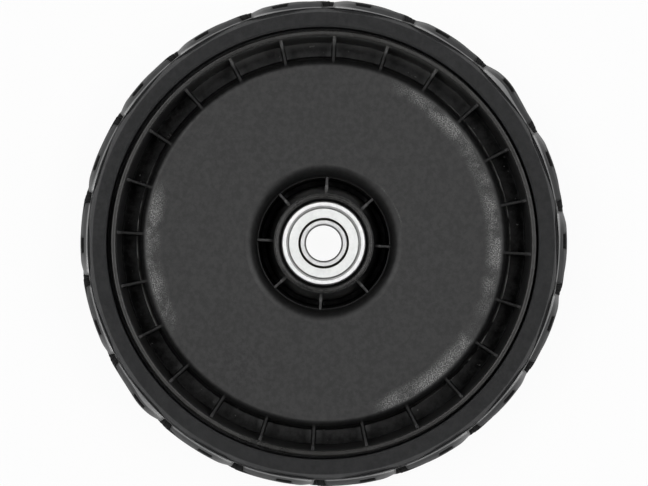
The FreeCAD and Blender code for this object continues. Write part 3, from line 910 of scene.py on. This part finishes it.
def makeTread():
    size = treadSizes
    crownRadius = (size["crownHalf"] ** 2 + size["crownDrop"] ** 2) / (2 * size["crownDrop"])
    facetAcross = crown - size["facetFoot"][0]
    inside = facetAcross - size["underside"]
    facetUp = tyreHalf - size["facetFoot"][1]
    variation = random.Random(size["seed"])
    most = size["unevenness"]
    unevenness = [variation.uniform(-most, most) for lug in range(size["lugs"])]
    half = [("inside", 0.0)]
    half += [("facet", share) for share in size["facetRows"]]
    half += [("flank", share) for share in size["flankRows"]]
    rows = [(1,) + row for row in half]
    rows += [(0, "crown", 1 - 2 * row / size["crownRows"]) for row in range(size["crownRows"] + 1)]
    rows += [(-1,) + row for row in reversed(half)]

    def tallRise(past, lug):
        rise = 0.0
        for tallLug, extra in size["tallLugs"].items():
            if lug % size["lugs"] == tallLug % size["lugs"]:
                middle, spread = size["tallPlace"]
                rise += extra * math.exp(-((past - middle) / spread) ** 2)
        return rise

    def crownAcross(up, angle):
        past, lug = pastMouth(angle, 1)
        rise = unevenness[lug % size["lugs"]] + tallRise(past, lug)
        lead = 0.0
        if past > size["mouth"] / 2 * toDegrees:
            lead = size["leadDrop"] * (1 - smoothStep(*size["leadSpan"], past))
        level = crown - crownRadius + math.sqrt(crownRadius ** 2 - up ** 2)
        outboard = size["outboardRise"] + size["outboardLean"] * leanShare(angle)
        level += outboard * smoothStep(*size["outboardRange"], -up)
        return level + rise * smoothStep(*size["tallRange"], up) - lead * smoothStep(*size["leadRange"], up)

    def facetLine(angle, side):
        # the facet's foot and its width
        past, lug = pastMouth(angle, side)
        widest, narrowest = size["facetWidth"]
        width = max(narrowest, widest * (1 - past / size["facetSpan"]))
        if side == 1:
            width += size["tallFacet"] * tallRise(past, lug)
        shift = shoulderShift(angle, side)
        width -= shift * size["facetLoss"]
        footAcross = facetAcross + shift
        room = crownAcross(side * size["flankEnd"], angle) - footAcross - size["facetRoom"]
        return footAcross, max(narrowest, min(width, room))

    def cutDown(across, up, angle):
        # radius once the grooves and pockets are cut, and how much painted shade the point gets
        along = (angle - size["turn"]) / toDegrees
        deepest = -lugPitch
        for side, shift in ((1, 0.0), (-1, lugPitch / 2)):
            groove = grooveReach(along - shift, up * side)
            pocket = pocketReach(along - shift, up * side)
            for reach, depth in ((groove, size["depth"]), (pocket, size["pocketDepth"])):
                across -= smoothStep(*size["wallRound"], reach) * max(0.0, across - (crown - depth))
            deepest = max(deepest, groove, pocket)
        return across, smoothStep(*size["grooveShadeReach"], deepest)

    sunk = []

    def place(row, angle):
        side, kind, share = row
        if kind == "inside":
            across, up = inside, side * (facetUp - size["facetBack"])
        elif kind == "crown":
            up = size["flankEnd"] * share
            across = crownAcross(up, angle)
        else:
            footAcross, width = facetLine(angle, side)
            if kind == "facet":
                across = footAcross + width * share
                up = facetUp - width * size["facetSlope"] * share
            else:
                topAcross = footAcross + width
                topUp = facetUp - width * size["facetSlope"]
                endAcross = crownAcross(side * size["flankEnd"], angle)
                across = topAcross + (endAcross - topAcross) * share
                up = topUp + (size["flankEnd"] - topUp) * share
            up = up * side
        shaded = 0.0
        if kind != "inside":
            across, shaded = cutDown(across, up, angle)
        sunk.append(shaded)
        turn = math.radians(angle)
        return (across * math.cos(turn), across * math.sin(turn), up)

    columns = treadColumns()
    piece = gridPiece("wheel_tyre_tread", rows, columns, place)
    facets = [float(kind == "facet") for _, kind, _ in rows] * len(columns)
    for name, values in (("facet", facets), ("sunk", sunk)):
        piece.data.attributes.new(name, "FLOAT", "POINT").data.foreach_set("value", values)
    dress(piece, "tread", "tyre_rubber", "wheel", "tyre")
    return piece


print("tyre:", len(makeTyreBody().data.polygons), "faces, tread:", len(makeTread().data.polygons), "faces")


# bearings

bearingSizes = {
    "bore": 7.5,
    "outside": 17.5,
    "halfWidth": 5.5,
    "chamfer": 0.6,
    "pitch": 12.5,
    "ballRadius": 2.9765,
    "clearance": 0.05,
    "innerRaceDepth": 1.2,
    "outerRaceDepth": 0.95,
    "innerFace": 1.95,
    "notchDepth": 1.3,
    "notchSlope": 0.3,
    "crimpWall": 1.6,
    "crimpLip": 0.5,
    "crimpLipDepth": 0.55,
    "crimpGroove": 0.7,
    "sheet": 0.35,
    "shieldFit": 0.02,
    "shieldGap": 0.99,
    "shieldSetback": 0.4,
    "shieldRim": 1.05,
    "shieldSlope": 0.6,
    "edge": 0.12,
    "raceSteps": 6,  # of half a race's arc
    "segments": 128,
}


def raceCorners(land, sign):
    # half of a ball race's arc, from its edge to the middle plane
    size = bearingSizes
    race = size["ballRadius"] + size["clearance"]
    half = math.sqrt(race ** 2 - (land - size["pitch"]) ** 2)
    widest = math.asin(half / race)
    steps = size["raceSteps"]
    corners = []
    for step in range(steps):
        turn = widest * (1 - step / steps)
        corners.append((size["pitch"] + sign * race * math.cos(turn), race * math.sin(turn), 0.0))
    return corners


def outerRingCorners():
    size = bearingSizes
    half = size["halfWidth"]
    groove = size["outside"] - size["crimpWall"]
    mouth = groove - size["crimpLip"]
    lipFoot = half - size["crimpLipDepth"]
    grooveFloor = lipFoot - size["crimpGroove"]
    land = size["pitch"] + size["ballRadius"] + size["clearance"] - size["outerRaceDepth"]
    edge = size["edge"]
    return mirroredCorners([
        (size["outside"], half - size["chamfer"], edge * 2),
        (size["outside"] - size["chamfer"], half, edge * 2),
        (mouth, half, edge * 1.5),
        (mouth, lipFoot, edge),
        (groove, lipFoot, edge),
        (groove, grooveFloor, edge),
        (land, grooveFloor, edge),
    ] + raceCorners(land, 1))


def innerRingCorners():
    size = bearingSizes
    half = size["halfWidth"]
    face = size["bore"] + size["innerFace"]
    notch = half - size["notchDepth"]
    land = size["pitch"] - size["ballRadius"] - size["clearance"] + size["innerRaceDepth"]
    edge = size["edge"]
    return mirroredCorners([
        (size["bore"], half - size["chamfer"], edge),
        (size["bore"] + size["chamfer"], half, edge),
        (face, half, edge),
        (face + size["notchSlope"], notch, edge),
        (land, notch, edge),
    ] + raceCorners(land, -1))


def shieldCorners():
    size = bearingSizes
    half = size["halfWidth"]
    sheet = size["sheet"]
    groove = size["outside"] - size["crimpWall"]
    rimLow = half - size["crimpLipDepth"] - size["crimpGroove"] + size["shieldFit"]
    rimHigh = rimLow + sheet
    flatHigh = half - size["shieldSetback"]
    flatLow = flatHigh - sheet
    inside = size["bore"] + size["innerFace"] + size["shieldGap"]
    outside = groove - size["shieldFit"]
    rimInside = outside - size["shieldRim"]
    flatOutside = rimInside - size["shieldSlope"]
    edge = size["edge"]
    return [
        (inside, flatLow, edge),
        (inside, flatHigh, edge),
        (flatOutside, flatHigh, edge * 2),
        (rimInside, rimHigh, edge),
        (outside, rimHigh, edge / 2),
        (outside, rimLow, edge / 2),
        (rimInside - sheet, rimLow, edge),
        (flatOutside - sheet, flatLow, edge),
    ]


def makeBearing(side, middle, flip, shieldNode):
    segments = bearingSizes["segments"]
    outer = turnedPiece(side + "_bearing_outer", outerRingCorners(), segments, middle)
    dress(outer, "outerSteel", "ring_steel", "wheel", side + "_outer_ring")
    inner = turnedPiece(side + "_bearing_inner", innerRingCorners(), segments, middle)
    dress(inner, "innerSteel", "ring_steel", side + "_axle_ring", side + "_inner_ring")
    shield = turnedPiece(side + "_bearing_shield", shieldCorners(), segments, middle, flip)
    dress(shield, "shieldSteel", "shield_steel", "wheel", shieldNode)


makeBearing("inboard", bearingMiddle, 1, "inboard_upper_shield")
makeBearing("outboard", -bearingMiddle, -1, "outboard_lower_shield")

nodeFinishes = {"shield": "shieldSteel", "ball": "ballSteel", "cage": "cageSteel"}
for nodeName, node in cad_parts.items():
    for word, finish in nodeFinishes.items():
        if word in nodeName:
            for slotPlace in node.material_slots:
                slotPlace.material = finishes[finish]
print("bearings: rings and shields made, balls and cages finished")


# floor, light and camera

stageSizes = {
    "floorRadius": 8.0,
    "floorSegments": 64,
    "floorColour": grey(0.95),
    "whiteShare": 0.94,  # how much of the floor's white doesn't depend on the light
    "panels": 3.25,  # two light panels overhead, left and right of the camera
    "panelLength": (0.08, 0.23, 0.49, 0.72),  # sine of the angle from the zenith, along Y
    "panelWidth": (-0.34, -0.12, 0.28, 0.58),  # the same, along X
    "panelRise": (0.0, 0.2),  # sine of the elevation
    "middle": 0.045,
    "horizon": (0.34, 0.08, 0.0, 2.2),  # sine of the elevation, then the light
}
cameraSizes = {
    "distance": 1.22,
    "lens": 161.9,
    "sensor": 36.0,
    "roll": 3.02,  # degrees from a rib to the picture's upright
    "aside": (0.00013, 0.0001),  # right and up in the picture
}


def makeFloor():
    mesh = bpy.data.meshes.new("floor")
    disc = bmesh.new()
    bmesh.ops.create_circle(disc, cap_ends=True, segments=stageSizes["floorSegments"],
                            radius=stageSizes["floorRadius"])
    disc.to_mesh(mesh)
    disc.free()
    floor = bpy.data.objects.new("floor", mesh)
    floor.location.z = -tyreHalf * mm
    scene.collection.objects.link(floor)
    material = bpy.data.materials.new("floorWhite")
    tree = emptyTree(material)
    matt = tree.nodes.new("ShaderNodeBsdfDiffuse")
    matt.inputs["Color"].default_value = stageSizes["floorColour"]
    white = tree.nodes.new("ShaderNodeEmission")
    path = tree.nodes.new("ShaderNodeLightPath")
    seen = 0.0
    for ray in ("Is Camera Ray", "Is Glossy Ray", "Is Transmission Ray"):
        seen = mathNode(tree, "MAXIMUM", path.outputs[ray], seen)
    mix = tree.nodes.new("ShaderNodeMixShader")
    feed(tree, mix.inputs["Fac"], product(tree, seen, stageSizes["whiteShare"]))
    tree.links.new(matt.outputs["BSDF"], mix.inputs[1])
    tree.links.new(white.outputs["Emission"], mix.inputs[2])
    output = tree.nodes.new("ShaderNodeOutputMaterial")
    tree.links.new(mix.outputs["Shader"], output.inputs["Surface"])
    mesh.materials.append(material)


def makeWorld():
    scene.world = bpy.data.worlds.new("lightTent")
    tree = emptyTree(scene.world)
    _, (x, y, rise) = coordinates(tree, "Generated")  # rise is the sine of the elevation
    along = band(tree, mathNode(tree, "ABSOLUTE", y), *stageSizes["panelLength"])
    across = band(tree, x, *stageSizes["panelWidth"])
    panels = product(tree, along, across, rampNode(tree, rise, *stageSizes["panelRise"]))
    top = mathNode(tree, "MULTIPLY_ADD", panels, stageSizes["panels"], stageSizes["middle"])
    low = rampNode(tree, rise, *stageSizes["horizon"])
    light = tree.nodes.new("ShaderNodeBackground")
    light.inputs["Color"].default_value = grey(1.0)
    feed(tree, light.inputs["Strength"], mathNode(tree, "ADD", top, low))
    output = tree.nodes.new("ShaderNodeOutputWorld")
    tree.links.new(light.outputs["Background"], output.inputs["Surface"])


def makeCamera():
    data = bpy.data.cameras.new("camera")
    data.lens = cameraSizes["lens"]
    data.sensor_width = cameraSizes["sensor"]
    camera = bpy.data.objects.new("camera", data)
    scene.collection.objects.link(camera)
    roll = math.radians(cameraSizes["roll"])
    upright = Vector((math.cos(roll), math.sin(roll), 0.0))
    back = Vector((0.0, 0.0, 1.0))
    rightward = upright.cross(back)
    right, up = cameraSizes["aside"]
    place = back * cameraSizes["distance"] + rightward * right + upright * up
    turn = Matrix((rightward, upright, back)).transposed()
    camera.matrix_world = Matrix.Translation(place) @ turn.to_4x4()
    scene.camera = camera


makeFloor()
makeWorld()
makeCamera()
scene.view_settings.view_transform = "Standard"
print("stage: floor, light and camera set")
